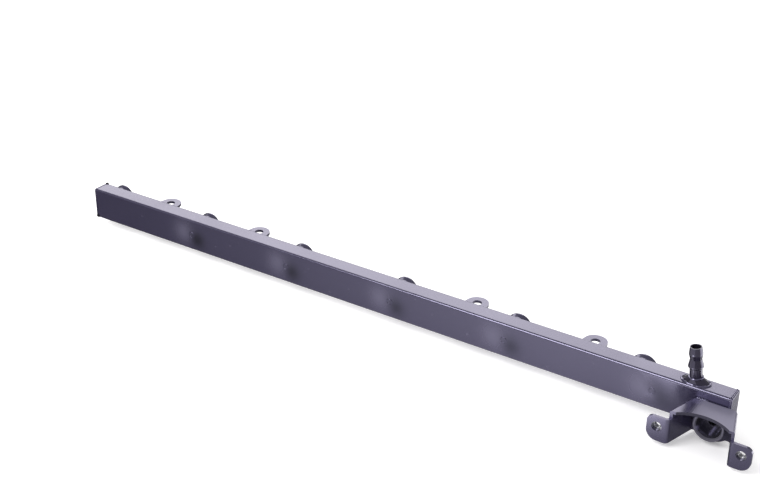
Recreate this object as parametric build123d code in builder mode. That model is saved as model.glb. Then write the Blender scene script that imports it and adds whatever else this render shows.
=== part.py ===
from build123d import *
import os
from math import cos, radians, sin, sqrt

os.makedirs("parts", exist_ok=True)

# Fuel rail for a straight six. X runs along the rail, +Y is the way the injectors leave
# their cups, +Z is up. Origin: where injector cup 1's axis meets the rail's back face.

# ---- driving dimensions, mm ----
cup_count = 6
cup_pitch = 91.0          # cylinder spacing of the engine
rail_start = 10.3         # rail end ahead of cup 1
rail_end = 65.7           # rail end past the last cup
rail_height = 25.0        # Z
rail_depth = 14.0         # Y
wall = 1.5
corner = 1.6              # outside corner radius of the tube
cap_thick = 1.5

bore_r = 7.0              # cup bore, takes a 14 mm injector or regulator seal
cup_wall = 1.4
cup_reach = 10.0          # injector cup's mouth from the back face
lip_flare = 1.0           # injector cup's mouth radius over its body radius
funnel_depth = 3.0
port_r = 2.6              # cross ports that let fuel into an injector cup

sink_r = 12.0             # sink mark left in the front face opposite each cup
sink_depth = 0.5

tab_thick = 2.0
tab_end_r = 8.2
tab_root = 22.0           # width where the tab meets the rail
tab_reach = 19.0          # hole centre from the rail's back face
tab_outer_shift = 5.5     # outer tabs, outwards from the middle of the bay between two cups
tab_inner_shift = 6.0     # inner tabs, the same
tab_centre_shift = 0.8    # all four tabs towards the last cup
screw_hole_r = 3.3        # clearance for M6

barb_from_end = 25.9      # barb's foot from the rail's end
barb_lean = 7.0           # degrees towards cup 1
barb_bore_r = 3.0
barb_neck_r = 4.0
barb_bead_r = 4.9
barb_tip_bead_r = 4.4
barb_waist_r = 3.8
barb_height = 24.2
saddle_length = 18.2      # along X
saddle_height = 3.2

sheet = 2.0               # bracket sheet
regulator_from_end = 9.4  # regulator cup's axis from the rail's end
regulator_drop = 6.1      # and below the rail's centre line
regulator_reach = 9.5     # its mouth from the front face
regulator_flare = 1.65    # its mouth radius over its body radius
roof_clearance = 0.45     # cup's lip to the roof above it
roof_depth = 17.2         # roof's front edge from the rail's face, in the middle
roof_arc_r = 26.0         # hollow of that edge
leg_clearance = 1.95      # cup's lip to the folds beside it
leg_depth = 24.0          # web's front face to the ears' front face
leg_splay = 6.9           # how far each leg leans out
leg_bottom = 16.3         # legs' lower edge below the rail's centre line
fold_r = 1.0              # inside radius of every fold
roof_edge_r = 1.5         # outside round along the roof's folded edges
ear_hole_from_leg = 5.7
ear_end_from_hole = 6.4
ear_top_over_hole = 6.9
ear_low_corner = 7.0
ear_high_corner = 4.0
lobe_margin = 5.3         # web left round the cup at the lobe
spigot_r = 4.0            # neck of the regulator cup through the rail's wall
spigot_bore_r = 2.8
spigot_inside = 1.5       # how far the neck stands inside the rail
nut_r = 4.1               # round weld nut
nut_thick = 4.0
nut_thread_r = 2.5        # M6 thread, tapping size

# ---- tied sizes ----
back_y = 0.0
front_y = back_y - rail_depth
mid_y = (back_y + front_y) / 2
top_z = rail_height / 2
cup_x = [i * cup_pitch for i in range(cup_count)]
rail_end_x = cup_x[-1] + rail_end
tube_x0 = -rail_start + cap_thick
tube_x1 = rail_end_x - cap_thick
inner_corner = max(corner - wall, 0.1)
cup_out_r = bore_r + cup_wall
tab_x = [tab_centre_shift + shift + (cup_x[a] + cup_x[a + 1]) / 2 for a, shift in
         ((0, -tab_outer_shift), (1, -tab_inner_shift),
          (cup_count - 3, tab_inner_shift), (cup_count - 2, tab_outer_shift))]
inside_front_y = front_y + wall
web_front_y = front_y - sheet
ear_front_y = web_front_y - leg_depth
ear_back_y = ear_front_y + sheet
bracket_x = rail_end_x - regulator_from_end
regulator_z = -regulator_drop
regulator_mouth_y = front_y - regulator_reach
regulator_lip_r = cup_out_r + regulator_flare
roof_top = regulator_z + regulator_lip_r + roof_clearance + sheet
roof_arc_y = front_y - roof_depth - roof_arc_r
web_half = regulator_lip_r + leg_clearance
ear_hole_x = web_half + sheet + leg_splay + ear_hole_from_leg
ear_half = ear_hole_x + ear_end_from_hole
lobe_r = cup_out_r + lobe_margin
barb_x = rail_end_x - barb_from_end
barb_axis = (-sin(radians(barb_lean)), 0, cos(radians(barb_lean)))
barb_foot = (barb_x, mid_y, top_z)
barb_frame = Plane(origin=barb_foot, x_dir=(barb_axis[2], 0, -barb_axis[0]), z_dir=(0, -1, 0))
flat_half_depth = rail_depth / 2 - corner


def place_cut(radius, length, centre, turn):
    """Cut a cylinder of the given length out of the part being built."""
    with Locations(centre):
        Cylinder(radius, length, rotation=turn, mode=Mode.SUBTRACT)


# ---- rail tube ----
with BuildPart() as rail_tube:
    with BuildSketch(Plane(origin=(tube_x0, mid_y, 0), x_dir=(0, 1, 0), z_dir=(1, 0, 0))):
        RectangleRounded(rail_depth, rail_height, corner)
        RectangleRounded(rail_depth - 2 * wall, rail_height - 2 * wall, inner_corner,
                         mode=Mode.SUBTRACT)
    extrude(amount=tube_x1 - tube_x0)
    for x in cup_x:
        place_cut(cup_out_r, 2 * wall, (x, back_y, 0), (90, 0, 0))
    # shallow sink marks where each cup's floor is brazed behind the front wall
    sink_sphere = (sink_r**2 + sink_depth**2) / (2 * sink_depth)
    with Locations([(x, front_y - sink_sphere + sink_depth, 0) for x in cup_x]):
        Sphere(sink_sphere, mode=Mode.SUBTRACT)
    place_cut(spigot_r, 4 * wall, (bracket_x, front_y, regulator_z), (90, 0, 0))
    with BuildSketch(barb_frame):
        with BuildLine():
            Polyline((0, -3 * wall), (barb_neck_r, -3 * wall), (barb_neck_r, 3 * wall),
                     (0, 3 * wall), close=True)
        make_face()
    revolve(axis=Axis(barb_foot, barb_axis), mode=Mode.SUBTRACT)
rail_tube.part.label = "rail_tube"
export_step(rail_tube.part, "parts/rail_tube.step")

# ---- end caps: flat plates with a softened outer edge ----
for name, x, out in (("end_cap_left", tube_x0, -1), ("end_cap_right", tube_x1, 1)):
    with BuildPart() as end_cap:
        with BuildSketch(Plane(origin=(x, mid_y, 0), x_dir=(0, 1, 0), z_dir=(1, 0, 0))):
            RectangleRounded(rail_depth, rail_height, corner)
        extrude(amount=out * cap_thick)
        rim = end_cap.faces().sort_by(Axis.X)[-1 if out > 0 else 0]
        fillet(rim.edges(), cap_thick * 0.4)
    end_cap.part.label = name
    export_step(end_cap.part, f"parts/{name}.step")

# ---- injector cups: drawn, funnel mouth, floor standing on the front wall ----
cup_floor_y = inside_front_y
for i, x in enumerate(cup_x, start=1):
    with BuildPart() as injector_cup:
        with BuildSketch(Plane.XY):
            with BuildLine():
                Polyline(
                    (x, cup_floor_y), (x + cup_out_r, cup_floor_y),
                    (x + cup_out_r, cup_reach - funnel_depth - lip_flare),
                    (x + cup_out_r + lip_flare, cup_reach - cup_wall),
                    (x + cup_out_r + lip_flare, cup_reach),
                    (x + bore_r + lip_flare, cup_reach),
                    (x + bore_r, cup_reach - funnel_depth),
                    (x + bore_r, cup_floor_y + cup_wall), (x, cup_floor_y + cup_wall),
                    close=True)
            make_face()
        revolve(axis=Axis((x, 0, 0), (0, 1, 0)))
        lip = injector_cup.edges().filter_by(GeomType.CIRCLE).group_by(Axis.Y)[-1].sort_by(
            SortBy.RADIUS)[-1]
        fillet(lip, cup_wall * 0.45)
        port_y = cup_floor_y + cup_wall + port_r + 0.4
        place_cut(port_r, 3 * cup_out_r, (x, port_y, 0), (0, 90, 0))
        place_cut(port_r, 3 * cup_out_r, (x, port_y, 0), (0, 0, 0))
    injector_cup.part.label = f"injector_cup_{i}"
    export_step(injector_cup.part, f"parts/injector_cup_{i}.step")

# ---- mounting tabs: flat, in the plane of the cup axes ----
for i, x in enumerate(tab_x, start=1):
    with BuildPart() as mounting_tab:
        with BuildSketch(Plane.XY.offset(-tab_thick / 2)):
            # sides run from the root's corners tangent to the round end
            half_root = tab_root / 2
            reach = tab_reach - back_y
            span = sqrt(half_root**2 + reach**2)
            lean = (tab_end_r / span)
            tangent_x = (tab_end_r * (half_root * lean + reach * sqrt(1 - lean**2)) / span)
            tangent_y = (tab_end_r * (reach * lean - half_root * sqrt(1 - lean**2)) / span)
            with BuildLine():
                Polyline((x - half_root, back_y), (x + half_root, back_y),
                         (x + tangent_x, tab_reach - tangent_y),
                         (x - tangent_x, tab_reach - tangent_y), close=True)
            make_face()
            with Locations((x, tab_reach)):
                Circle(tab_end_r)
        extrude(amount=tab_thick)
        place_cut(screw_hole_r, 3 * tab_thick, (x, tab_reach, 0), (0, 0, 0))
    mounting_tab.part.label = f"mounting_tab_{i}"
    export_step(mounting_tab.part, f"parts/mounting_tab_{i}.step")

# ---- hose barb: turned, two beads, leaning along the rail ----
with BuildPart() as hose_barb:
    with BuildSketch(barb_frame):
        with BuildLine():
            bead_top = barb_height * 0.49
            Polyline(
                (barb_bore_r, -2 * wall), (barb_neck_r, -2 * wall),
                (barb_neck_r, bead_top - 2.2), (barb_bead_r, bead_top - 1.2),
                (barb_bead_r, bead_top - 0.4), (barb_waist_r, barb_height * 0.66),
                (barb_tip_bead_r, barb_height * 0.79), (barb_tip_bead_r, barb_height * 0.84),
                (barb_waist_r, barb_height), (barb_bore_r, barb_height), close=True)
        make_face()
    revolve(axis=Axis(barb_foot, barb_axis))
    fillet(hose_barb.edges().filter_by(GeomType.CIRCLE).group_by(Axis.Z)[-1].sort_by(
        SortBy.RADIUS)[-1], 0.3)
hose_barb.part.label = "hose_barb"
export_step(hose_barb.part, "parts/hose_barb.step")

# ---- saddle: oval foot drawn up to the barb's neck ----
with BuildPart() as barb_saddle:
    with BuildSketch(Plane.XY.offset(top_z)):
        with Locations((barb_x, mid_y)):
            Ellipse(saddle_length / 2, flat_half_depth)
    with BuildSketch(Plane.XY.offset(top_z + 0.7)):
        with Locations((barb_x, mid_y)):
            Ellipse(saddle_length / 2 - 0.8, flat_half_depth - 0.25)
    loft()
    with BuildSketch(Plane.XY.offset(top_z + 0.7)):
        with Locations((barb_x, mid_y)):
            Ellipse(saddle_length / 2 - 0.8, flat_half_depth - 0.25)
    with BuildSketch(Plane.XY.offset(top_z + saddle_height)):
        with Locations((barb_x + saddle_height * barb_axis[0], mid_y)):
            Circle(barb_neck_r + 0.7)
    loft()
    with BuildSketch(barb_frame):
        with BuildLine():
            Polyline((0, -wall), (barb_neck_r, -wall), (barb_neck_r, 3 * saddle_height),
                     (0, 3 * saddle_height), close=True)
        make_face()
    revolve(axis=Axis(barb_foot, barb_axis), mode=Mode.SUBTRACT)
barb_saddle.part.label = "barb_saddle"
export_step(barb_saddle.part, "parts/barb_saddle.step")

# ---- regulator bracket: pressed hood with a roof, splayed legs and drilled ears ----
with BuildPart() as regulator_bracket:
    mid_web_y = front_y - sheet / 2
    mid_ear_y = ear_front_y + sheet / 2
    fold_x = web_half + sheet / 2
    with BuildSketch(Plane.XY.offset(-leg_bottom)):
        with BuildLine():
            FilletPolyline(
                (bracket_x - ear_half, mid_ear_y), (bracket_x - fold_x - leg_splay, mid_ear_y),
                (bracket_x - fold_x, mid_web_y), (bracket_x + fold_x, mid_web_y),
                (bracket_x + fold_x + leg_splay, mid_ear_y), (bracket_x + ear_half, mid_ear_y),
                radius=fold_r + sheet / 2)
        trace(line_width=sheet)
    extrude(amount=leg_bottom + roof_top)
    # the roof joins web and legs and ends in a hollow front edge
    with BuildSketch(Plane.XY.offset(roof_top - sheet)):
        with BuildLine():
            FilletPolyline(
                (bracket_x - fold_x - leg_splay, mid_ear_y), (bracket_x - fold_x, mid_web_y),
                (bracket_x + fold_x, mid_web_y), (bracket_x + fold_x + leg_splay, mid_ear_y),
                radius=fold_r + sheet / 2)
            Line((bracket_x + fold_x + leg_splay, mid_ear_y),
                 (bracket_x - fold_x - leg_splay, mid_ear_y))
        make_face()
        with Locations((bracket_x, roof_arc_y)):
            Circle(roof_arc_r, mode=Mode.SUBTRACT)
    extrude(amount=sheet)
    # the ears are lower than the legs: relief with a rounded inner corner
    ear_top = regulator_z + ear_top_over_hole
    with BuildSketch(Plane.YZ.offset(bracket_x)):
        with Locations((ear_back_y + fold_r, ear_top)):
            Rectangle(4 * leg_depth, 4 * roof_top, align=(Align.MAX, Align.MIN))
    extrude(amount=2 * ear_half, both=True, mode=Mode.SUBTRACT)
    roof_rim = regulator_bracket.edges().group_by(Axis.Z)[-1]
    fillet(roof_rim.filter_by(
        lambda e: e.center().Y > ear_back_y + 2 * fold_r
        and (e.geom_type != GeomType.CIRCLE or e.radius < roof_arc_r / 2)), roof_edge_r)
    for side in (-1, 1):
        end = regulator_bracket.edges().filter_by(Axis.Y).filter_by(
            lambda e: abs(e.center().X - bracket_x - side * ear_half) < 0.01).sort_by(Axis.Z)
        fillet(end[0], ear_low_corner)
        end = regulator_bracket.edges().filter_by(Axis.Y).filter_by(
            lambda e: abs(e.center().X - bracket_x - side * ear_half) < 0.01).sort_by(Axis.Z)
        fillet(end[-1], ear_high_corner)
    # round lobe under the cup
    with BuildSketch(Plane(origin=(bracket_x, front_y, regulator_z), x_dir=(1, 0, 0),
                           z_dir=(0, -1, 0))):
        Circle(lobe_r)
        with Locations((0, -lobe_r * 0.45)):
            Rectangle(3 * lobe_r, 3 * lobe_r, align=(Align.CENTER, Align.MIN), mode=Mode.SUBTRACT)
    extrude(amount=sheet)
    place_cut(cup_out_r, 4 * sheet, (bracket_x, front_y, regulator_z), (90, 0, 0))
    for side in (-1, 1):
        place_cut(screw_hole_r, 4 * sheet, (bracket_x + side * ear_hole_x, mid_ear_y, regulator_z),
                  (90, 0, 0))
regulator_bracket.part.label = "regulator_bracket"
export_step(regulator_bracket.part, "parts/regulator_bracket.step")

# ---- regulator cup: stands on the rail's front face, held in the web's round hole ----
with BuildPart() as regulator_cup:
    with BuildSketch(Plane.XY.offset(regulator_z)):
        with BuildLine():
            m = regulator_mouth_y
            Polyline(
                (bracket_x + spigot_bore_r, inside_front_y + spigot_inside),
                (bracket_x + spigot_r, inside_front_y + spigot_inside),
                (bracket_x + spigot_r, front_y), (bracket_x + cup_out_r, front_y),
                (bracket_x + cup_out_r, m + funnel_depth + regulator_flare),
                (bracket_x + cup_out_r + regulator_flare, m + cup_wall),
                (bracket_x + cup_out_r + regulator_flare, m),
                (bracket_x + bore_r + regulator_flare, m),
                (bracket_x + bore_r, m + funnel_depth),
                (bracket_x + bore_r, front_y - cup_wall),
                (bracket_x + spigot_bore_r, front_y - cup_wall), close=True)
        make_face()
    revolve(axis=Axis((bracket_x, 0, regulator_z), (0, 1, 0)))
    fillet(regulator_cup.edges().filter_by(GeomType.CIRCLE).group_by(Axis.Y)[0].sort_by(
        SortBy.RADIUS)[-1], cup_wall * 0.45)
regulator_cup.part.label = "regulator_cup"
export_step(regulator_cup.part, "parts/regulator_cup.step")

# ---- weld nuts behind the ears ----
for name, side in (("weld_nut_left", -1), ("weld_nut_right", 1)):
    with BuildPart() as weld_nut:
        with BuildSketch(Plane(origin=(bracket_x + side * ear_hole_x, ear_back_y, regulator_z),
                               x_dir=(1, 0, 0), z_dir=(0, 1, 0))):
            Circle(nut_r)
            Circle(nut_thread_r, mode=Mode.SUBTRACT)
        extrude(amount=nut_thick)
        chamfer(weld_nut.faces().sort_by(Axis.Y)[-1].outer_wire().edges(), 0.4)
    weld_nut.part.label = name
    export_step(weld_nut.part, f"parts/{name}.step")
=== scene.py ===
"""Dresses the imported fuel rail: satin black paint, weld and braze beads, threads, light and camera."""
import logging
import math
from dataclasses import dataclass, field
from enum import Enum

import bpy
import numpy as np
from mathutils import Matrix, Vector


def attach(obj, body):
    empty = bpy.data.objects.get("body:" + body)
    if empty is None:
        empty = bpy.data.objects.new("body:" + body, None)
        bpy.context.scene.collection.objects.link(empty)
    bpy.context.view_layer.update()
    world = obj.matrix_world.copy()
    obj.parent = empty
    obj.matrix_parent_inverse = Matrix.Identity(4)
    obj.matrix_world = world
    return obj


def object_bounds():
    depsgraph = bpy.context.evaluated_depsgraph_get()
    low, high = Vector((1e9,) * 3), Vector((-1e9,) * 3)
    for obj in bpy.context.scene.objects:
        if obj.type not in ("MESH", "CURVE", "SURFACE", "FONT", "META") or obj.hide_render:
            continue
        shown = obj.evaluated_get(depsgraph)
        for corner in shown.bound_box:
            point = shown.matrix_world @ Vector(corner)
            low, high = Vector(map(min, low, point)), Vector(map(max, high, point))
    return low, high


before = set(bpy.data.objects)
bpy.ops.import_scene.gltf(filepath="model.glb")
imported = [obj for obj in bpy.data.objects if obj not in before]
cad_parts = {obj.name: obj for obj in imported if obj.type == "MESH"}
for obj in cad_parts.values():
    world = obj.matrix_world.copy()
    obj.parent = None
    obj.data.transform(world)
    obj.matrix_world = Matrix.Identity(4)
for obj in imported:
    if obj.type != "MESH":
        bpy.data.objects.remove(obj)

CAD_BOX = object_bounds()
MM = 0.001
LOG = logging.getLogger("fuel_rail")
BODY = "root"
MIX_UNDER, MIX_OVER, MIX_RESULT = 6, 7, 2  # the colour sockets of a Mix node, by index

Point = tuple[float, float, float]
Colour = tuple[float, float, float]
Surface = tuple[np.ndarray, np.ndarray]
Value = bpy.types.NodeSocket | float

# axes of the row frame
ALONG: Point = (1, 0, 0)
ACROSS: Point = (0, 1, 0)
UP: Point = (0, 0, 1)


@dataclass(frozen=True)
class PartSizes:
    """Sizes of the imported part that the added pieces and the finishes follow, mm."""

    rail_start: float = -10.3
    rail_end: float = 520.7
    rail_depth: float = 14.0
    rail_height: float = 25.0
    corner: float = 1.6
    cap: float = 1.5
    cup_count: int = 6
    cup_pitch: float = 91.0
    cup_outer: float = 8.4
    sink_radius: float = 12.0
    sink_depth: float = 0.5
    tab_root: float = 22.0
    tab_thick: float = 2.0
    sheet: float = 2.0
    regulator_x: float = 511.3
    regulator_z: float = -6.1
    roof_top: float = 6.4
    roof_arc_radius: float = 26.0
    roof_arc_y: float = -57.2


PART = PartSizes()


class Finish(Enum):
    """The part's finishes; the two plain ones carry the name of their slot in the record."""

    PAINT = "black_steel"
    TUBE = "painted_tube"
    PRESSED = "painted_pressing"
    BRAZE = "painted_braze"
    DRAWN = "painted_drawn"
    TURNED = "painted_turning"
    SCALE = "weld_scale"
    ZINC = "zinc_steel"

    @property
    def slot(self) -> str:
        """The record's material slot that the finish belongs to."""
        return (Finish.ZINC if self is Finish.ZINC else Finish.PAINT).value


# ---------------------------------------------------------------- node helpers
def new_group(name: str, inputs: dict[str, float], outputs: tuple[str, ...]) -> bpy.types.NodeTree:
    """Make an empty shader node group with float inputs and outputs.

    Args:
        name: group name.
        inputs: input name to default value.
        outputs: output names.

    Returns:
        The group, holding its Group Input and Group Output nodes.
    """
    group = bpy.data.node_groups.new(name, "ShaderNodeTree")
    for label, value in inputs.items():
        socket = group.interface.new_socket(label, in_out="INPUT", socket_type="NodeSocketFloat")
        socket.default_value = value
    for label in outputs:
        group.interface.new_socket(label, in_out="OUTPUT", socket_type="NodeSocketFloat")
    group.nodes.new("NodeGroupInput")
    group.nodes.new("NodeGroupOutput")
    return group


def add(tree: bpy.types.NodeTree, kind: str, links: dict | None = None, **settings) -> bpy.types.Node:
    """Add a node, set its properties and connect or fill its inputs.

    Args:
        tree: node tree to add to.
        kind: node type without the ShaderNode prefix.
        links: input name or index to a socket to link from, or a value.
        settings: node properties.

    Returns:
        The new node.
    """
    node = tree.nodes.new("ShaderNode" + kind)
    for key, value in settings.items():
        setattr(node, key, value)
    for key, value in (links or {}).items():
        if isinstance(value, bpy.types.NodeSocket):
            tree.links.new(value, node.inputs[key])
        else:
            node.inputs[key].default_value = value
    return node


def math_node(tree: bpy.types.NodeTree, operation: str, *values: Value,
              clamp: bool = False) -> bpy.types.NodeSocket:
    """Add a Math node.

    Args:
        tree: node tree to add to.
        operation: Math operation.
        values: the operation's one to three values or sockets.
        clamp: limit the result to 0..1.

    Returns:
        The node's value socket.
    """
    return add(tree, "Math", dict(enumerate(values)), operation=operation, use_clamp=clamp).outputs[0]


def sum_of_squares(tree: bpy.types.NodeTree, first: Value, second: Value) -> bpy.types.NodeSocket:
    """Add nodes for a^2 + b^2.

    Args:
        tree: node tree to add to.
        first: a, of either sign.
        second: b, of either sign.

    Returns:
        The sum's socket.
    """
    squares = [math_node(tree, "POWER", math_node(tree, "ABSOLUTE", off), 2.0) for off in (first, second)]
    return math_node(tree, "ADD", *squares)


def object_place(tree: bpy.types.NodeTree) -> bpy.types.NodeOutputs:
    """Add the object coordinates.

    Args:
        tree: node tree to add to.

    Returns:
        Sockets named X, Y and Z, in m.
    """
    return add(tree, "SeparateXYZ", {"Vector": add(tree, "TexCoord").outputs["Object"]}).outputs


def blend(tree: bpy.types.NodeTree, mask: Value, under: Value | tuple, over: Value | tuple,
          **settings) -> bpy.types.NodeSocket:
    """Lay one colour over another by a mask.

    Args:
        tree: node tree to add to.
        mask: share of the upper colour.
        under: lower colour, as a socket or as four numbers.
        over: upper colour.
        settings: more properties of the Mix node.

    Returns:
        The colour's socket.
    """
    links = {"Factor": mask, MIX_UNDER: under, MIX_OVER: over}
    return add(tree, "Mix", links, data_type="RGBA", **settings).outputs[MIX_RESULT]


def opaque(colour: Colour) -> tuple[float, float, float, float]:
    """Give a colour full alpha.

    Args:
        colour: linear red, green and blue.

    Returns:
        The four numbers that a colour socket holds.
    """
    return (*colour, 1.0)


def placed(tree: bpy.types.NodeTree, group: bpy.types.NodeTree, **values: float) -> bpy.types.NodeOutputs:
    """Place a shared group in a material with its own values.

    Args:
        tree: the material's node tree.
        group: the shared node group.
        values: input name, with _ for a space, to value.

    Returns:
        The group's output sockets.
    """
    node = tree.nodes.new("ShaderNodeGroup")
    node.node_tree = group
    for label, value in values.items():
        node.inputs[label.replace("_", " ")].default_value = value
    return node.outputs


# ---------------------------------------------------------------- shared effects
def orange_peel_group() -> bpy.types.NodeTree:
    """Height of sprayed paint: broad soft ripples plus a fine grain, each a noise of the position."""
    group = new_group("orange_peel", {"Ripple Scale": 260.0, "Grain Scale": 2600.0, "Grain Share": 0.3},
                      ("Height",))
    source = group.nodes["Group Input"].outputs
    place = add(group, "TexCoord").outputs["Object"]
    ripple = add(group, "TexNoise", {"Vector": place, "Scale": source["Ripple Scale"], "Detail": 2.0})
    grain = add(group, "TexNoise", {"Vector": place, "Scale": source["Grain Scale"], "Detail": 1.0})
    share = math_node(group, "MULTIPLY", grain.outputs["Fac"], source["Grain Share"])
    total = math_node(group, "ADD", ripple.outputs["Fac"], share)
    group.links.new(total, group.nodes["Group Output"].inputs["Height"])
    return group


def dust_group() -> bpy.types.NodeTree:
    """Mask of sparse pale specks: a noise kept only where it peaks above a level."""
    group = new_group("dust_specks", {"Scale": 300.0, "Level": 0.70, "Softness": 0.05}, ("Mask",))
    source = group.nodes["Group Input"].outputs
    place = add(group, "TexCoord").outputs["Object"]
    noise = add(group, "TexNoise", {"Vector": place, "Scale": source["Scale"], "Detail": 2.0})
    above = math_node(group, "SUBTRACT", noise.outputs["Fac"], source["Level"])
    mask = math_node(group, "DIVIDE", above, source["Softness"], clamp=True)
    group.links.new(mask, group.nodes["Group Output"].inputs["Mask"])
    return group


def mottle_group() -> bpy.types.NodeTree:
    """Slow variation of a film: a broad noise mapped between two values."""
    group = new_group("film_mottle", {"Scale": 30.0, "Low": 0.35, "High": 0.45}, ("Value",))
    source = group.nodes["Group Input"].outputs
    place = add(group, "TexCoord").outputs["Object"]
    noise = add(group, "TexNoise", {"Vector": place, "Scale": source["Scale"], "Detail": 3.0})
    ranged = add(group, "MapRange", {"Value": noise.outputs["Fac"], "From Min": 0.3, "From Max": 0.7,
                                     "To Min": source["Low"], "To Max": source["High"]})
    group.links.new(ranged.outputs[0], group.nodes["Group Output"].inputs["Value"])
    return group


@dataclass(frozen=True)
class Patch:
    """A soft round patch near each sink mark, m: its middle from the mark's and its radius."""

    along: float
    up: float
    radius: float


def sink_group(dip: Patch = Patch(0.0, 0.0, 0.006), highlight_patch: Patch = Patch(-0.0075, 0.001, 0.009),
               shade_patch: Patch = Patch(0.006, -0.003, 0.007)) -> bpy.types.NodeTree:
    """Marks drawn in by brazing a cup behind the front wall, on the front wall only.

    With x the signed distance along X to the nearest multiple of Pitch, a patch at (c, h) of radius R
    is exp(-((x - c)^2 + (z - h)^2) / R^2). There is no mark before First, and marks past Last sit Shift
    further along. Beside each hollow the lighter patch is a painted highlight and the darker patch a
    painted shade, standing in for light falling across the hollow from one side.

    Args:
        dip: the hollow, put out as Height with a minus sign.
        highlight_patch: a painted highlight beside the hollow, put out as Sheen.
        shade_patch: a painted shade on the hollow's other side, put out as Shade.

    Returns:
        The group.
    """
    group = new_group("sink_dips", {"Pitch": PART.cup_pitch * MM, "Front": -0.0132, "First": 0.045,
                                    "Last": 0.41, "Shift": 0.015}, ("Height", "Painted Highlight", "Shade"))
    source = group.nodes["Group Input"].outputs
    target = group.nodes["Group Output"].inputs
    place = object_place(group)
    half = math_node(group, "MULTIPLY", source["Pitch"], 0.5)
    late = math_node(group, "GREATER_THAN", place["X"], source["Last"])
    unmoved = math_node(group, "SUBTRACT", place["X"], math_node(group, "MULTIPLY", late, source["Shift"]))
    across = math_node(group, "WRAP", unmoved, half, math_node(group, "MULTIPLY", half, -1.0))
    front = math_node(group, "MULTIPLY", math_node(group, "LESS_THAN", place["Y"], source["Front"]),
                      math_node(group, "GREATER_THAN", place["X"], source["First"]))
    # Height is the real hollow; the other two outputs are a painted highlight and a painted shade.
    for patch, sign, output in ((dip, -1.0, "Height"), (highlight_patch, 1.0, "Painted Highlight"), (shade_patch, 1.0, "Shade")):
        square = sum_of_squares(group, math_node(group, "SUBTRACT", across, patch.along),
                                math_node(group, "SUBTRACT", place["Z"], patch.up))
        fall = math_node(group, "EXPONENT", math_node(group, "MULTIPLY", square, -1.0 / patch.radius**2))
        signed = math_node(group, "MULTIPLY", math_node(group, "MULTIPLY", fall, front), sign)
        group.links.new(signed, target[output])
    return group


def bracket_faces_group() -> bpy.types.NodeTree:
    """Masks of the bracket's sheared edge and of its roof.

    Cut Edge is 1 above Low where the distance from the roof's upright arc axis is Radius, within
    Tolerance. Roof is 1 above Top, rising from 0 over Fade past Start along X. The sheared edge is
    painted dark as shade and the roof lighter as a painted reflection.
    """
    group = new_group("bracket_faces", {
        "Axis X": PART.regulator_x * MM, "Axis Y": PART.roof_arc_y * MM, "Radius": PART.roof_arc_radius * MM,
        "Tolerance": 0.0002, "Low": 0.0036, "Top": 0.0062, "Start": 0.5, "Fade": 0.005}, ("Cut Edge", "Roof"))
    source = group.nodes["Group Input"].outputs
    target = group.nodes["Group Output"].inputs
    place = object_place(group)
    away = math_node(group, "SQRT", sum_of_squares(
        group, *(math_node(group, "SUBTRACT", place[axis], source[f"Axis {axis}"]) for axis in "XY")))
    off = math_node(group, "ABSOLUTE", math_node(group, "SUBTRACT", away, source["Radius"]))
    edge = math_node(group, "MULTIPLY", math_node(group, "LESS_THAN", off, source["Tolerance"]),
                     math_node(group, "GREATER_THAN", place["Z"], source["Low"]))
    group.links.new(edge, target["Cut Edge"])
    past = math_node(group, "SUBTRACT", place["X"], source["Start"])
    rising = math_node(group, "DIVIDE", past, source["Fade"], clamp=True)
    above = math_node(group, "GREATER_THAN", place["Z"], source["Top"])
    group.links.new(math_node(group, "MULTIPLY", rising, above), target["Roof"])
    return group


# The mask lets the drawn cup's bore be painted dark, a painted shade.
def bore_group() -> bpy.types.NodeTree:
    """Mask of the regulator cup's bore: 1 where the distance from its axis is under Radius, else 0."""
    group = new_group("bore_inside", {"Axis X": PART.regulator_x * MM, "Axis Z": PART.regulator_z * MM,
                                      "Radius": 0.008}, ("Mask",))
    source = group.nodes["Group Input"].outputs
    place = object_place(group)
    away = math_node(group, "SQRT", sum_of_squares(
        group, *(math_node(group, "SUBTRACT", place[axis], source[f"Axis {axis}"]) for axis in "XZ")))
    group.links.new(math_node(group, "LESS_THAN", away, source["Radius"]),
                    group.nodes["Group Output"].inputs["Mask"])
    return group


@dataclass(frozen=True)
class SharedEffects:
    """The node groups that the finishes are built on."""

    peel: bpy.types.NodeTree = field(default_factory=orange_peel_group)
    dust: bpy.types.NodeTree = field(default_factory=dust_group)
    mottle: bpy.types.NodeTree = field(default_factory=mottle_group)
    sink: bpy.types.NodeTree = field(default_factory=sink_group)
    bracket_faces: bpy.types.NodeTree = field(default_factory=bracket_faces_group)
    bore: bpy.types.NodeTree = field(default_factory=bore_group)


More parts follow.
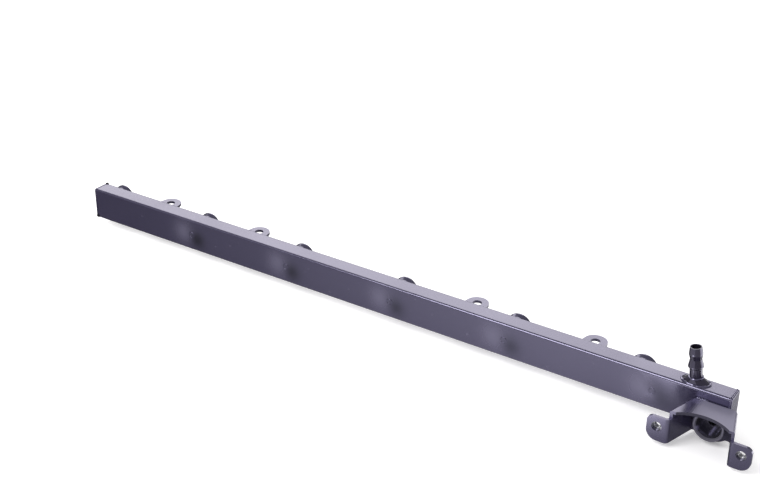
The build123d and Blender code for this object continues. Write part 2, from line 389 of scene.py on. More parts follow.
# ---------------------------------------------------------------- finishes
@dataclass(frozen=True)
class SatinPaint:
    """Satin black paint with a violet cast, over steel or over a braze bead.

    Depths are in mm. sink_depth, roof_rough with edge_rough, and bore_shade stay 0 where the finish has
    no sink marks, no rougher, lighter roof with a sheared edge, and no bore painted dark. Colours here
    stand in for light: round the sink marks a painted highlight and a painted shade, the shade also
    dimming the reflection as a painted darker reflection; on the roof a lighter colour as a painted
    reflection; and on the sheared edge and in the bore a dark colour as painted shade.
    """

    name: str
    base: Colour = (0.021, 0.018, 0.040)
    speck: Colour = (0.060, 0.056, 0.085)
    tint: Colour = (0.76, 0.72, 1.0)
    ior: float = 2.2
    rough_low: float = 0.20
    rough_high: float = 0.26
    peel_depth: float = 0.012
    peel_strength: float = 0.25
    ripple_scale: float = 260.0
    sink_depth: float = 0.0
    painted_highlight: Colour = (0.072, 0.067, 0.102)
    shade: Colour = (0.001, 0.001, 0.002)
    painted_shade_tint: Colour = (0.56, 0.53, 0.80)
    roof_rough: float = 0.0
    roof_painted_reflection: Colour = (0.155, 0.148, 0.195)
    edge_rough: float = 0.0
    bore_shade: float = 0.0

    def build(self, shared: SharedEffects) -> bpy.types.Material:
        """Make the material.

        Args:
            shared: node groups used by several finishes.

        Returns:
            The finished material.
        """
        material = bpy.data.materials.new(self.name)
        material.use_nodes = True
        tree = material.node_tree
        shader = tree.nodes["Principled BSDF"]
        tone = blend(tree, placed(tree, shared.dust)["Mask"], opaque(self.base), opaque(self.speck))
        rough = placed(tree, shared.mottle, Low=self.rough_low, High=self.rough_high)["Value"]
        peel = placed(tree, shared.peel, Ripple_Scale=self.ripple_scale)["Height"]
        normal = add(tree, "Bump", {"Strength": self.peel_strength, "Distance": self.peel_depth * MM,
                                    "Height": peel}).outputs["Normal"]
        shader.inputs["Specular Tint"].default_value = opaque(self.tint)
        if self.sink_depth:
            sink = placed(tree, shared.sink)
            # Painted highlight and painted shade round each sink mark; the shade also dims the Specular Tint,
            # a painted darker reflection.
            tone = blend(tree, sink["Painted Highlight"], tone, opaque(self.painted_highlight))
            tone = blend(tree, sink["Shade"], tone, opaque(self.shade))
            normal = add(tree, "Bump", {"Strength": 1.0, "Distance": self.sink_depth * MM,
                                        "Height": sink["Height"], "Normal": normal}).outputs["Normal"]
            dimmed = blend(tree, sink["Shade"], opaque(self.tint), opaque(self.painted_shade_tint))
            tree.links.new(dimmed, shader.inputs["Specular Tint"])
        # The roof is painted lighter, a painted reflection; the sheared edge is rougher and also painted dark
        # as shade.
        if self.roof_rough:
            faces = placed(tree, shared.bracket_faces)
            for mask, film, dull in ((faces["Roof"], self.roof_painted_reflection, self.roof_rough),
                                     (faces["Cut Edge"], self.shade, self.edge_rough)):
                tone = blend(tree, mask, tone, opaque(film))
                rough = math_node(tree, "MAXIMUM", rough, math_node(tree, "MULTIPLY", mask, dull))
        # The cup's bore is painted dark, a painted shade.
        if self.bore_shade:
            inside = math_node(tree, "MULTIPLY", placed(tree, shared.bore)["Mask"], self.bore_shade)
            tone = blend(tree, inside, tone, opaque(self.shade))
        for value, socket in ((tone, "Base Color"), (rough, "Roughness"), (normal, "Normal")):
            tree.links.new(value, shader.inputs[socket])
        shader.inputs["IOR"].default_value = self.ior
        return material


@dataclass(frozen=True)
class ZincPlate:
    """Zinc-plated steel of the weld nuts and their threads, with duller spots."""

    name: str = "zinc_plate"
    base: Colour = (0.50, 0.50, 0.53)
    dull: Colour = (0.40, 0.40, 0.42)
    spot_scale: float = 900.0
    spot_level: float = 0.55
    spot_softness: float = 0.2
    mottle_scale: float = 300.0
    rough_low: float = 0.2
    rough_high: float = 0.4

    def build(self, shared: SharedEffects) -> bpy.types.Material:
        """Make the material.

        Args:
            shared: node groups used by several finishes.

        Returns:
            The finished material.
        """
        material = bpy.data.materials.new(self.name)
        material.use_nodes = True
        tree = material.node_tree
        shader = tree.nodes["Principled BSDF"]
        spots = placed(tree, shared.dust, Scale=self.spot_scale, Level=self.spot_level,
                       Softness=self.spot_softness)["Mask"]
        tone = blend(tree, spots, opaque(self.base), opaque(self.dull))
        tree.links.new(tone, shader.inputs["Base Color"])
        shader.inputs["Metallic"].default_value = 1.0
        rough = placed(tree, shared.mottle, Scale=self.mottle_scale, Low=self.rough_low, High=self.rough_high)
        tree.links.new(rough["Value"], shader.inputs["Roughness"])
        return material


# ---------------------------------------------------------------- surfaces
def carried_round(path: np.ndarray, radius: np.ndarray | float, toward: Point, closed: bool,
                  around: int = 12) -> Surface:
    """Carry a round section along a path.

    With t the path's direction, n the part of ``toward`` square to t and b = t x n, a point is
    P(u, v) = path(u) + r(u) (cos v n(u) + sin v b(u)). An open path's ends close in a point.

    Args:
        path: points of the path, N by 3, mm.
        radius: section radius for each point or for all, mm.
        toward: direction that the section's start leans to, never along the path.
        closed: the path runs back into its start.
        around: points round the section.

    Returns:
        Vertices, M by 3 in mm, and quads as K by 4 indices; a pole's quads repeat one index.
    """
    ahead = np.roll(path, -1, 0) - np.roll(path, 1, 0) if closed else np.gradient(path, axis=0)
    ahead = ahead / np.linalg.norm(ahead, axis=1, keepdims=True)
    lean = np.asarray(toward, float) - (ahead @ np.asarray(toward, float))[:, None] * ahead
    lean = lean / np.linalg.norm(lean, axis=1, keepdims=True)
    side = np.cross(ahead, lean)
    turn = np.linspace(0, 2 * np.pi, around, endpoint=False)
    reach = np.broadcast_to(np.asarray(radius, float), (len(path),))[:, None, None]
    ring = np.cos(turn)[None, :, None] * lean[:, None] + np.sin(turn)[None, :, None] * side[:, None]
    points = (path[:, None] + reach * ring).reshape(-1, 3)
    rows = len(path)
    u = np.arange(rows if closed else rows - 1)[:, None]
    v = np.arange(around)[None]
    u2, v2 = (u + 1) % rows, (v + 1) % around
    quads = np.stack([u * around + v, u * around + v2, u2 * around + v2, u2 * around + v], -1)
    quads = quads.reshape(-1, 4)
    if closed:
        return points, quads
    first, last = len(points), len(points) + 1
    points = np.vstack([points, path[:1], path[-1:]])
    near = np.stack([np.full(around, first), np.roll(v[0], -1), v[0], np.full(around, first)], -1)
    far_ring = (rows - 1) * around + v[0]
    far = np.stack([np.full(around, last), far_ring, np.roll(far_ring, -1), np.full(around, last)], -1)
    return points, np.vstack([quads, near, far])


def lumpy_ball(centre: Point, size: Point, lump: float, phase: float, rows: int = 14,
               around: int = 20) -> Surface:
    """Make a drop with an uneven surface.

    P(a, b) = centre + size (1 + lump sin(3a + phase) sin(2b)) (cos a sin b, sin a sin b, cos b), with b
    from pole to pole.

    Args:
        centre: middle of the drop, mm.
        size: half sizes along X, Y and Z, mm.
        lump: depth of the unevenness as a share.
        phase: turn of the unevenness, radians.
        rows: rings between the poles.
        around: points round each ring.

    Returns:
        Vertices and quads as carried_round gives them.
    """
    b = np.linspace(0, np.pi, rows + 2)[1:-1, None]
    a = np.linspace(0, 2 * np.pi, around, endpoint=False)[None]
    swell = 1 + lump * np.sin(3 * a + phase) * np.sin(2 * b)
    ball = np.stack([swell * np.cos(a) * np.sin(b), swell * np.sin(a) * np.sin(b),
                     swell * np.cos(b) * np.ones_like(a)], -1)
    points = (np.asarray(centre) + np.asarray(size) * ball).reshape(-1, 3)
    u, v = np.arange(rows - 1)[:, None], np.arange(around)[None]
    v2 = (v + 1) % around
    quads = np.stack([u * around + v, (u + 1) * around + v, (u + 1) * around + v2, u * around + v2],
                     -1).reshape(-1, 4)
    top, low = len(points), len(points) + 1
    points = np.vstack([points, np.asarray(centre) + np.array([0, 0, size[2]]),
                        np.asarray(centre) - np.array([0, 0, size[2]])])
    cap = np.stack([np.full(around, top), v[0], np.roll(v[0], -1), np.full(around, top)], -1)
    end = (rows - 1) * around + v[0]
    foot = np.stack([np.full(around, low), np.roll(end, -1), end, np.full(around, low)], -1)
    return points, np.vstack([quads, cap, foot])


def circle_path(centre: Point, radii: tuple[float, float], first: Point, second: Point,
                count: int = 120) -> np.ndarray:
    """Closed oval: centre + r1 cos s first + r2 sin s second.

    Args:
        centre: middle, mm.
        radii: half sizes along the two directions, mm.
        first: unit direction of the start.
        second: unit direction a quarter turn on.
        count: points.

    Returns:
        The points, count by 3.
    """
    s = np.linspace(0, 2 * np.pi, count, endpoint=False)[:, None]
    return (np.asarray(centre, float) + radii[0] * np.cos(s) * np.asarray(first, float)
            + radii[1] * np.sin(s) * np.asarray(second, float))


def rounded_path(centre: Point, half: tuple[float, float], corner: float, first: Point, second: Point,
                 each: int = 9, step: float = 1.2) -> np.ndarray:
    """Closed rounded rectangle: four quarter arcs about the inner corners, joined by straight runs.

    The outline is then measured off evenly, in steps that are short enough for the corners.

    Args:
        centre: middle, mm.
        half: half sizes along the two directions, mm.
        corner: corner radius, mm.
        first: unit direction of the first half size.
        second: unit direction of the second half size.
        each: points on a corner's arc before the outline is measured off.
        step: longest gap between points, mm.

    Returns:
        The points, evenly dense.
    """
    arc = np.linspace(0, np.pi / 2, each)
    signs = np.array([(1, 1), (-1, 1), (-1, -1), (1, -1)], float)
    starts = np.arange(4) * np.pi / 2
    middle = signs * (np.asarray(half) - corner)
    angle = starts[:, None] + arc
    flat = (middle[:, None] + corner * np.stack([np.cos(angle), np.sin(angle)], -1)).reshape(-1, 2)
    loop = np.vstack([flat, flat[:1]])
    run = np.concatenate([[0], np.cumsum(np.linalg.norm(np.diff(loop, axis=0), axis=1))])
    corner_step = 0.35 * corner + 0.2
    count = int(run[-1] / min(step, corner_step)) + 1
    at = np.linspace(0, run[-1], count, endpoint=False)
    flat = np.stack([np.interp(at, run, loop[:, 0]), np.interp(at, run, loop[:, 1])], -1)
    return np.asarray(centre, float) + flat @ np.asarray([first, second], float)


def line_path(start: Point, end: Point, step: float = 0.25) -> np.ndarray:
    """Straight open path: start + s (end - start).

    Args:
        start: first point, mm.
        end: last point, mm.
        step: gap between points, mm.

    Returns:
        The points.
    """
    a, b = np.asarray(start, float), np.asarray(end, float)
    count = max(int(np.linalg.norm(b - a) / step), 8)
    return a + np.linspace(0, 1, count)[:, None] * (b - a)


def beaded(path: np.ndarray, radius: float, pitch: float, depth: float, closed: bool) -> np.ndarray:
    """Radius of a weld bead along its path: r (1 + depth cos(2 pi s / pitch)).

    An open bead is drawn in at its ends: with t from -1 to 1 along it, r is times sqrt(1 - t^8).

    Args:
        path: points of the path, mm.
        radius: mean radius, mm.
        pitch: length of one ripple, mm.
        depth: ripple's depth as a share.
        closed: the path runs back into its start.

    Returns:
        One radius for each point.
    """
    gaps = np.linalg.norm(np.diff(path, axis=0), axis=1)
    run = np.concatenate([[0], np.cumsum(gaps)])
    total = run[-1] + (np.linalg.norm(path[0] - path[-1]) if closed else 0)
    waves = max(round(total / pitch), 1)
    size = radius * (1 + depth * np.cos(2 * np.pi * waves * run / total))
    if not closed:
        share = 2 * run / total - 1
        size = size * np.sqrt(np.clip(1 - share**8, 0.02, 1))
    return size


# ---------------------------------------------------------------- pieces
@dataclass
class Shop:
    """Turns surfaces into dressed pieces that ride on the part."""

    materials: dict[Finish, bpy.types.Material]
    made: list[str] = field(default_factory=list)

    def piece(self, name: str, surfaces: list[Surface], finish: Finish) -> bpy.types.Object:
        """Make one piece of one or more closed surfaces given in mm.

        A surface is turned to face outwards where its signed volume is negative: six times that volume
        is the sum of p0 . (p1 x p2) over its triangles.

        Args:
            name: piece name.
            surfaces: vertices and quads of each surface.
            finish: its finish.

        Returns:
            The new object.
        """
        points, faces, base = [], [], 0
        for verts, quads in surfaces:
            middle = verts - verts.mean(0)
            corners = middle[quads]
            a, b, c, d = (corners[:, i] for i in range(4))
            six_volumes = (a * np.cross(b, c)).sum() + (a * np.cross(c, d)).sum()
            turned = quads[:, ::-1] if six_volumes < 0 else quads
            points.append(verts)
            pole = turned[:, 0] == turned[:, 3]
            faces += (turned[~pole] + base).tolist() + (turned[pole][:, :3] + base).tolist()
            base += len(verts)
        mesh = bpy.data.meshes.new(name)
        mesh.from_pydata((np.vstack(points) * MM).tolist(), [], faces)
        mesh.update()
        mesh.polygons.foreach_set("use_smooth", np.ones(len(mesh.polygons), bool))
        mesh.materials.append(self.materials[finish])
        made = bpy.data.objects.new(name, mesh)
        bpy.context.scene.collection.objects.link(made)
        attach(made, BODY)
        self.made.append(name)
        LOG.info("made %s, %d faces", name, len(faces))
        return made

    def dress(self, node: str, finish: Finish) -> None:
        """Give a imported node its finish.

        Args:
            node: node name.
            finish: its finish.
        """
        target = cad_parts[node]
        target.data.materials.clear()
        target.data.materials.append(self.materials[finish])
        LOG.info("dressed %s", node)


@dataclass(frozen=True)
class Bead:
    """A weld or braze bead: its radius and the length and depth of its ripples, mm and a share."""

    radius: float
    ripple: float
    depth: float

    def along(self, path: np.ndarray, toward: Point, closed: bool = True, around: int = 12) -> Surface:
        """Lay the bead along a path.

        Args:
            path: points of the path, mm.
            toward: direction that the section's start leans to, never along the path.
            closed: the path runs back into its start.
            around: points round the section.

        Returns:
            Vertices and quads as carried_round gives them.
        """
        radius = beaded(path, self.radius, self.ripple, self.depth, closed)
        return carried_round(path, radius, toward, closed, around)


@dataclass(frozen=True)
class Drop:
    """A set drop of weld metal at a corner of the tube, mm: lump and phase are lumpy_ball's."""

    middle: Point
    size: Point
    lump: float
    phase: float


@dataclass
class RailTube:
    """The tube with its end caps: cap seams, corner drops and the welding marks on the front face."""

    seam_left: Bead = Bead(0.35, 2.6, 0.06)
    seam_right: Bead = Bead(0.7, 2.6, 0.06)
    seam_inset: float = 0.12
    marks: tuple[float, ...] = (91.0, 182.0, 273.0, 364.0, 470.0)
    mark_radius: float = 2.1
    mark_width: float = 0.3
    mark_least_depth: float = 0.12
    low_drop: Drop = Drop((1.6, 0.3, 1.8), (1.6, 1.1, 1.6), 0.18, 0.4)
    high_drop: Drop = Drop((1.5, -0.9, -0.1), (1.6, 1.2, 0.9), 0.15, 1.1)

    def build(self, shop: Shop) -> None:
        """Dress the tube and caps and add their beads and marks.

        Args:
            shop: maker of the pieces.
        """
        shop.dress("rail_tube", Finish.TUBE)
        for node in ("end_cap_left", "end_cap_right"):
            shop.dress(node, Finish.PAINT)
        half = (PART.rail_depth / 2 - self.seam_inset, PART.rail_height / 2 - self.seam_inset)
        for name, x, seam in (("cap_seam_left", PART.rail_start + PART.cap, self.seam_left),
                              ("cap_seam_right", PART.rail_end - PART.cap, self.seam_right)):
            path = rounded_path((x, -PART.rail_depth / 2, 0), half, PART.corner, ACROSS, UP)
            shop.piece(name, [seam.along(path, ALONG)], Finish.BRAZE)
        for i, x in enumerate(self.marks, start=2):
            path = circle_path((x, self.front_face(x), 0), (self.mark_radius,) * 2, ALONG, UP, 64)
            ridge = carried_round(path, self.mark_width, ACROSS, True, around=10)
            shop.piece(f"weld_mark_{i}", [ridge], Finish.PAINT)
        corners = ((self.low_drop, (PART.rail_start, -PART.rail_depth, -PART.rail_height / 2)),
                   (self.high_drop, (PART.rail_start, 0.0, PART.rail_height / 2)))
        shop.piece("corner_drops", [
            lumpy_ball(tuple(np.add(corner, drop.middle)), drop.size, drop.lump, drop.phase)
            for drop, corner in corners], Finish.SCALE)

    def front_face(self, x: float) -> float:
        """Y of the front face under a mark: -depth + sink (1 - (d / R)^2), with d from the sink's middle.

        Args:
            x: the mark's place along the rail, mm.

        Returns:
            Y in mm, at least mark_least_depth inside the flat face.
        """
        off = (x + PART.cup_pitch / 2) % PART.cup_pitch - PART.cup_pitch / 2
        reach = math.hypot(off, self.mark_radius) / PART.sink_radius
        return -PART.rail_depth + max(PART.sink_depth * (1 - reach**2), self.mark_least_depth)


@dataclass
class InjectorCups:
    """Six drawn cups and the braze round each at the tube's back face."""

    bead: Bead = Bead(0.75, 5.5, 0.08)
    lift: float = 0.05

    def build(self, shop: Shop) -> None:
        """Dress the cups and lay the braze rings.

        Args:
            shop: maker of the pieces.
        """
        for i in range(PART.cup_count):
            shop.dress(f"injector_cup_{i + 1}", Finish.PAINT)
            centre = (i * PART.cup_pitch, self.lift, 0)
            path = circle_path(centre, (PART.cup_outer + self.lift,) * 2, ALONG, UP)
            shop.piece(f"cup_braze_{i + 1}", [self.bead.along(path, ACROSS)], Finish.BRAZE)


@dataclass
class MountingTabs:
    """Four flat tabs and the weld round each root."""

    places: tuple[float, ...] = (40.8, 131.3, 325.3, 415.8)
    bead: Bead = Bead(0.65, 1.8, 0.12)
    lift: float = 0.05
    gap: float = 0.1
    corner: float = 0.6

    def build(self, shop: Shop) -> None:
        """Dress the tabs and lay the root welds.

        Args:
            shop: maker of the pieces.
        """
        half = (PART.tab_root / 2 + self.gap, PART.tab_thick / 2 + self.gap)
        for i, x in enumerate(self.places, start=1):
            shop.dress(f"mounting_tab_{i}", Finish.PAINT)
            path = rounded_path((x, self.lift, 0), half, self.corner, ALONG, UP)
            shop.piece(f"tab_weld_{i}", [self.bead.along(path, ACROSS)], Finish.BRAZE)


@dataclass
class HoseBarb:
    """The leaning barb, its oval saddle and the braze at the saddle's foot and round the barb's neck."""

    foot_x: float = 494.8
    lean_deg: float = 7.0
    saddle: tuple[float, float] = (9.1, 5.4)
    saddle_height: float = 3.2
    neck: float = 4.0
    gap: float = 0.15
    foot_bead: Bead = Bead(0.85, 4.0, 0.08)
    neck_bead: Bead = Bead(0.75, 6.0, 0.06)

    def build(self, shop: Shop) -> None:
        """Dress both nodes and lay the two braze rings.

        Args:
            shop: maker of the pieces.
        """
        shop.dress("hose_barb", Finish.TURNED)
        shop.dress("barb_saddle", Finish.TURNED)
        foot = (self.foot_x, -PART.rail_depth / 2, PART.rail_height / 2)
        rim = circle_path(foot, self.saddle, ALONG, ACROSS)
        lean = math.radians(self.lean_deg)
        axis = (-math.sin(lean), 0.0, math.cos(lean))
        collar = tuple(np.asarray(foot) + np.asarray(axis) * (self.saddle_height + self.gap))
        neck = circle_path(collar, (self.neck + self.gap,) * 2, (axis[2], 0.0, -axis[0]), ACROSS, 72)
        shop.piece("saddle_braze", [self.foot_bead.along(rim, UP), self.neck_bead.along(neck, axis)],
                   Finish.BRAZE)


@dataclass
class RegulatorEnd:
    """The bracket with its roof, the regulator cup, the weld nuts and their threads.

    roof_line and web_line hold a weld's start and end, from the bracket's left fold along X and from
    the roof's top along Z; stand_off is how far each weld's middle lies before the rail's face.
    """

    web_half: float = 12.0
    ear_hole: float = 26.6
    ear_back: float = -38.0
    nut_thick: float = 4.0
    nut_weld_radius: float = 4.15
    thread_radius: float = 2.5
    thread_pitch: float = 1.0
    thread_end: float = 0.4
    thread_ridge: Bead = Bead(0.3, 50.0, 0.0)
    roof_bead: Bead = Bead(1.15, 2.0, 0.14)
    roof_line: tuple[tuple[float, float], tuple[float, float]] = ((-0.5, -0.55), (7.5, -0.55))
    roof_stand_off: float = 0.2
    web_bead: Bead = Bead(0.8, 1.9, 0.12)
    web_line: tuple[tuple[float, float], tuple[float, float]] = ((-1.9, -4.0), (-1.9, -18.4))
    web_stand_off: float = 0.15
    cup_bead: Bead = Bead(0.6, 5.0, 0.08)
    cup_gap: float = 0.1
    nut_bead: Bead = Bead(0.4, 3.0, 0.15)

    def build(self, shop: Shop) -> None:
        """Dress the nodes, weld the bracket and the cup on, and cut the threads.

        Args:
            shop: maker of the pieces.
        """
        shop.dress("regulator_bracket", Finish.PRESSED)
        shop.dress("regulator_cup", Finish.DRAWN)
        left = PART.regulator_x - self.web_half
        for name, bead, line, stand_off, toward in (
                ("roof_weld", self.roof_bead, self.roof_line, self.roof_stand_off, UP),
                ("web_weld", self.web_bead, self.web_line, self.web_stand_off, ALONG)):
            y = -PART.rail_depth - stand_off
            path = line_path(*((left + x, y, PART.roof_top + z) for x, z in line))
            shop.piece(name, [bead.along(path, toward, closed=False)], Finish.BRAZE)
        ring = circle_path((PART.regulator_x, -PART.rail_depth - PART.sheet, PART.regulator_z),
                           (PART.cup_outer + self.cup_gap,) * 2, ALONG, UP)
        shop.piece("regulator_braze", [self.cup_bead.along(ring, ACROSS)], Finish.BRAZE)
        for side, word in ((-1, "left"), (1, "right")):
            x = PART.regulator_x + side * self.ear_hole
            shop.dress(f"weld_nut_{word}", Finish.ZINC)
            centre = (x, self.ear_back, PART.regulator_z)
            collar = circle_path(centre, (self.nut_weld_radius,) * 2, ALONG, UP, 72)
            shop.piece(f"nut_weld_{word}", [self.nut_bead.along(collar, ACROSS)], Finish.BRAZE)
            shop.piece(f"nut_thread_{word}", [self.thread(x)], Finish.ZINC)

    def thread(self, x: float) -> Surface:
        """Thread ridge, half sunk in the bore: a thin round section along a helix.

        The helix is (x + r cos s, y0 + pitch s / 2 pi, z + r sin s).

        Args:
            x: the nut's axis, mm.

        Returns:
            Vertices and quads.
        """
        turns = (self.nut_thick - 2 * self.thread_end) / self.thread_pitch
        s = np.linspace(0, 2 * np.pi * turns, int(48 * turns))
        path = np.stack([x + self.thread_radius * np.cos(s),
                         self.ear_back + self.thread_end + self.thread_pitch * s / (2 * np.pi),
                         PART.regulator_z + self.thread_radius * np.sin(s)], -1)
        return self.thread_ridge.along(path, ACROSS, closed=False, around=8)


# ---------------------------------------------------------------- stage
@dataclass(frozen=True)
class Camera:
    """Pinhole camera of the product view, in the row frame."""

    place: Point = (703.456, -680.272, 450.374)
    yaw_deg: float = 33.356
    pitch_deg: float = 26.869
    roll_deg: float = -0.730
    focal_px: float = 1300.755
    frame_px: float = 760.0
    sensor_mm: float = 36.0
    clip: tuple[float, float] = (0.01, 50.0)

    def build(self) -> bpy.types.Object:
        """Make the camera and set it as the scene's: it looks along +Y, turned by yaw, pitch and roll.

        Returns:
            The camera object.
        """
        data = bpy.data.cameras.new("camera")
        data.sensor_width = self.sensor_mm
        data.lens = self.focal_px / self.frame_px * self.sensor_mm
        data.clip_start, data.clip_end = self.clip
        camera = bpy.data.objects.new("camera", data)
        bpy.context.scene.collection.objects.link(camera)
        yaw, pitch, roll = (math.radians(a) for a in (self.yaw_deg, self.pitch_deg, self.roll_deg))
        level = math.cos(pitch)
        forward = Vector((-math.sin(yaw) * level, math.cos(yaw) * level, -math.sin(pitch)))
        right = Vector((math.cos(yaw), math.sin(yaw), 0))
        down = forward.cross(right)
        across = math.cos(roll) * right + math.sin(roll) * down
        low = -math.sin(roll) * right + math.cos(roll) * down
        turn = Matrix((across, -low, -forward)).transposed()
        camera.matrix_world = Matrix.Translation(Vector(self.place) * MM) @ turn.to_4x4()
        bpy.context.scene.camera = camera
        return camera


@dataclass(frozen=True)
class Softbox:
    """One soft rectangular lamp, m and W."""

    name: str
    place: Point
    aim: Point
    size: tuple[float, float]
    watts: float
    colour: Colour = (1.0, 1.0, 1.0)

    def build(self) -> bpy.types.Object:
        """Make the lamp, facing its aim.

        Returns:
            The lamp object.
        """
        data = bpy.data.lights.new(self.name, "AREA")
        data.shape = "RECTANGLE"
        data.size, data.size_y = self.size
        data.energy = self.watts
        data.color = self.colour
        lamp = bpy.data.objects.new(self.name, data)
        lamp.location = self.place
        lamp.rotation_mode = "QUATERNION"
        lamp.rotation_quaternion = (Vector(self.aim) - Vector(self.place)).to_track_quat("-Z", "Y")
        bpy.context.scene.collection.objects.link(lamp)
        return lamp


@dataclass(frozen=True)
class Studio:
    """Pale floor, pale surroundings and soft lamps, in m and W.

    The floor's colour is floor_colour for light, seen_colour to the camera and, to the part's own
    reflections, a grey that follows mirrored_grey along X, with a glow past glow_edges in X and Y.
    That grey is a painted reflection: it makes the part's reflections darker to the left and brighter
    to the right, its glow and bright spot are painted highlights, and its dark spots are painted shade.
    Shade falls on all of them, and white_share of what the camera sees of the floor is plain white.
    """

    floor_half: float = 6.0
    floor_gap: float = 0.0002
    floor_colour: Colour = (0.90, 0.87, 0.92)
    seen_colour: Colour = (1.28, 1.27, 1.28)
    white_share: float = 0.19
    # grey of the floor in the part's reflections: a painted reflection, darker to the left
    mirrored_grey: tuple[tuple[float, float], ...] = (
        (-0.04, 0.10), (0.012, 0.15), (0.135, 0.32), (0.312, 0.69), (0.40, 0.87), (0.505, 0.87), (0.537, 0.5))
    glow: float = 2.6
    glow_edges: tuple[tuple[float, float], tuple[float, float]] = ((0.548, 0.565), (-0.02, 0.015))
    # painted reflection spots: one bright (painted highlight) and two dark (painted shade)
    spots: tuple[tuple[float, float, float, float, float], ...] = (
        (4.0, 0.463, -0.094, 0.018, 0.024), (-0.65, 0.510, -0.032, 0.020, 0.014),
        (-0.30, 0.484, -0.040, 0.014, 0.020))
    darkest_mirrored: float = 0.05
    world_strength: float = 0.8
    mirrored_world: float = 0.36
    lamps: tuple[Softbox, ...] = (
        Softbox("back_softbox", (-0.66, 1.25, 0.85), (0.2, 0, 0), (1.9, 0.8), 12.3, (1.0, 0.99, 0.95)),
        Softbox("front_softbox", (-0.11, -1.0, 1.02), (0.3, 0, 0), (0.70, 0.8), 14.1),
    )

    def mirrored_floor(self, tree: bpy.types.NodeTree) -> bpy.types.NodeSocket:
        """Grey of the floor in reflections: a ramp through mirrored_grey along X, the glow and the spots.

        A spot adds strength exp(-(((x - cx) / sx)^2 + ((y - cy) / sy)^2)). Each of spots holds its
        strength, cx, cy, sx and sy. The first spot is a painted highlight in the part's reflections; the
        other two, with minus strengths, are painted shade under the bracket and to its left.

        Args:
            tree: the floor material's node tree.

        Returns:
            The grey.
        """
        start, end = self.mirrored_grey[0][0], self.mirrored_grey[-1][0]
        most = max(grey for _, grey in self.mirrored_grey)
        place = object_place(tree)
        share = add(tree, "MapRange", {"Value": place["X"], "From Min": start, "From Max": end}).outputs[0]
        ramp = add(tree, "ValToRGB", {"Fac": share})
        stops = ramp.color_ramp.elements
        while len(stops) < len(self.mirrored_grey):
            stops.new(1.0)
        for stop, (x, grey) in zip(stops, self.mirrored_grey):
            stop.position = (x - start) / (end - start)
            stop.color = opaque((grey / most,) * 3)
        grey = math_node(tree, "MULTIPLY", ramp.outputs["Color"], most)
        edges = [add(tree, "MapRange", {"Value": place[axis], "From Min": low, "From Max": high}).outputs[0]
                 for axis, (low, high) in zip("XY", self.glow_edges)]
        glow = math_node(tree, "MULTIPLY", math_node(tree, "MULTIPLY", *edges), self.glow)
        grey = math_node(tree, "ADD", grey, glow)
        for strength, *values in self.spots:
            square = sum_of_squares(tree, *(
                math_node(tree, "DIVIDE", math_node(tree, "SUBTRACT", place[axis], centre), size)
                for axis, centre, size in zip("XY", values[:2], values[2:])))
            fall = math_node(tree, "EXPONENT", math_node(tree, "MULTIPLY", square, -1.0))
            grey = math_node(tree, "ADD", grey, math_node(tree, "MULTIPLY", fall, strength))
        return math_node(tree, "MAXIMUM", grey, self.darkest_mirrored)

    def floor(self) -> bpy.types.Object:
        """Lay a square floor just under the part; it shows white, and darker only where the part shades it.

        Returns:
            The floor object.
        """
        level = CAD_BOX[0].z - self.floor_gap
        h = self.floor_half
        mesh = bpy.data.meshes.new("floor")
        mesh.from_pydata([(-h, -h, level), (h, -h, level), (h, h, level), (-h, h, level)], [], [(0, 1, 2, 3)])
        floor = bpy.data.objects.new("floor", mesh)
        bpy.context.scene.collection.objects.link(floor)
        material = bpy.data.materials.new("floor_white")
        material.use_nodes = True
        tree = material.node_tree
        tree.nodes.clear()
        path = add(tree, "LightPath").outputs
        seen = math_node(tree, "MAXIMUM", path["Is Camera Ray"], path["Is Transmission Ray"])
        shown = blend(tree, seen, opaque(self.floor_colour), opaque(self.seen_colour), clamp_result=False)
        colour = blend(tree, path["Is Glossy Ray"], shown, self.mirrored_floor(tree), clamp_result=False)
        plain = add(tree, "BsdfDiffuse", {"Color": colour})
        white = add(tree, "Emission", {"Color": (1, 1, 1, 1), "Strength": 1.0})
        share = math_node(tree, "MULTIPLY", seen, self.white_share)
        mix = add(tree, "MixShader", {0: share, 1: plain.outputs[0], 2: white.outputs[0]})
        add(tree, "OutputMaterial", {"Surface": mix.outputs[0]})
        mesh.materials.append(material)
        return floor

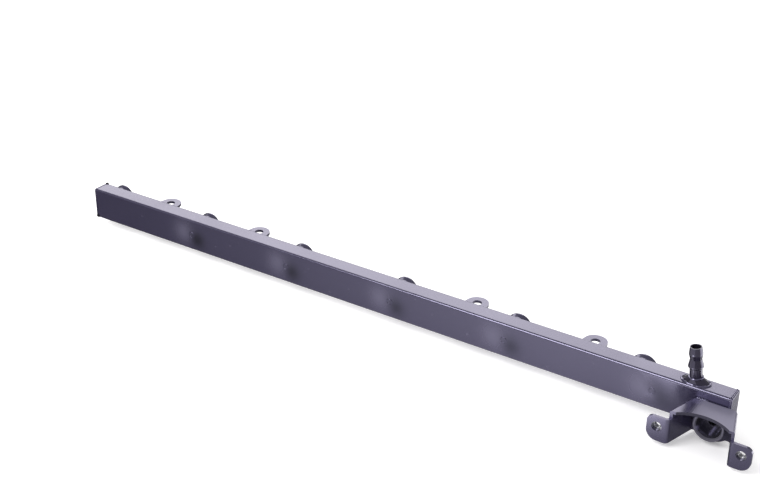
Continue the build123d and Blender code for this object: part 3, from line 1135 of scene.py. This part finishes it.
    def world(self) -> None:
        """Even surroundings: a plain level for light, dimmer in reflections, white to the camera."""
        world = bpy.data.worlds.new("pale_room")
        world.use_nodes = True
        bpy.context.scene.world = world
        tree = world.node_tree
        background = tree.nodes["Background"]
        path = add(tree, "LightPath").outputs
        seen = math_node(tree, "MAXIMUM", path["Is Camera Ray"], path["Is Transmission Ray"])
        extra = math_node(tree, "MULTIPLY", seen, 1.0 - self.world_strength)
        less = math_node(tree, "MULTIPLY", path["Is Glossy Ray"], self.mirrored_world - self.world_strength)
        level = math_node(tree, "ADD", math_node(tree, "ADD", extra, less), self.world_strength)
        background.inputs["Color"].default_value = (1, 1, 1, 1)
        tree.links.new(level, background.inputs["Strength"])

    def build(self) -> None:
        """Set up the whole stage."""
        self.floor()
        self.world()
        for lamp in self.lamps:
            lamp.build()


def main() -> None:
    """Build the stage and each sub-assembly in order."""
    logging.basicConfig(level=logging.INFO, format="%(message)s")
    bpy.context.scene.view_settings.view_transform = "Standard"
    Camera().build()
    Studio().build()
    shared = SharedEffects()
    shop = Shop({finish: look.build(shared) for finish, look in (
        (Finish.PAINT, SatinPaint("satin_black")),
        # the tube carries the painted highlight and painted shade round its sink marks
        (Finish.TUBE, SatinPaint("satin_black_tube", sink_depth=0.7)),
        # the pressing's roof is painted lighter as a reflection, and its sheared edge dark as shade
        (Finish.PRESSED, SatinPaint("satin_black_pressing", roof_rough=0.5, edge_rough=0.8)),
        (Finish.BRAZE, SatinPaint("painted_braze", ior=2.6, rough_low=0.10, rough_high=0.16,
                                  peel_depth=0.05, peel_strength=0.4, ripple_scale=700.0)),
        # the drawn cup's bore is painted dark as shade
        (Finish.DRAWN, SatinPaint("painted_drawn", base=(0.110, 0.106, 0.130), rough_low=0.16,
                                  rough_high=0.22, bore_shade=0.82)),
        (Finish.TURNED, SatinPaint("painted_turning", base=(0.012, 0.010, 0.018), ior=1.75,
                                   rough_low=0.07, rough_high=0.12)),
        (Finish.SCALE, SatinPaint("weld_scale", base=(0.008, 0.007, 0.011), speck=(0.03, 0.028, 0.04),
                                  ior=1.3, rough_low=0.45, rough_high=0.6)),
        (Finish.ZINC, ZincPlate()),
    )})
    for assembly in (RailTube(), InjectorCups(), MountingTabs(), HoseBarb(), RegulatorEnd()):
        LOG.info("building %s", type(assembly).__name__)
        assembly.build(shop)
    LOG.info("%d new pieces", len(shop.made))


if __name__ == "__main__":
    main()
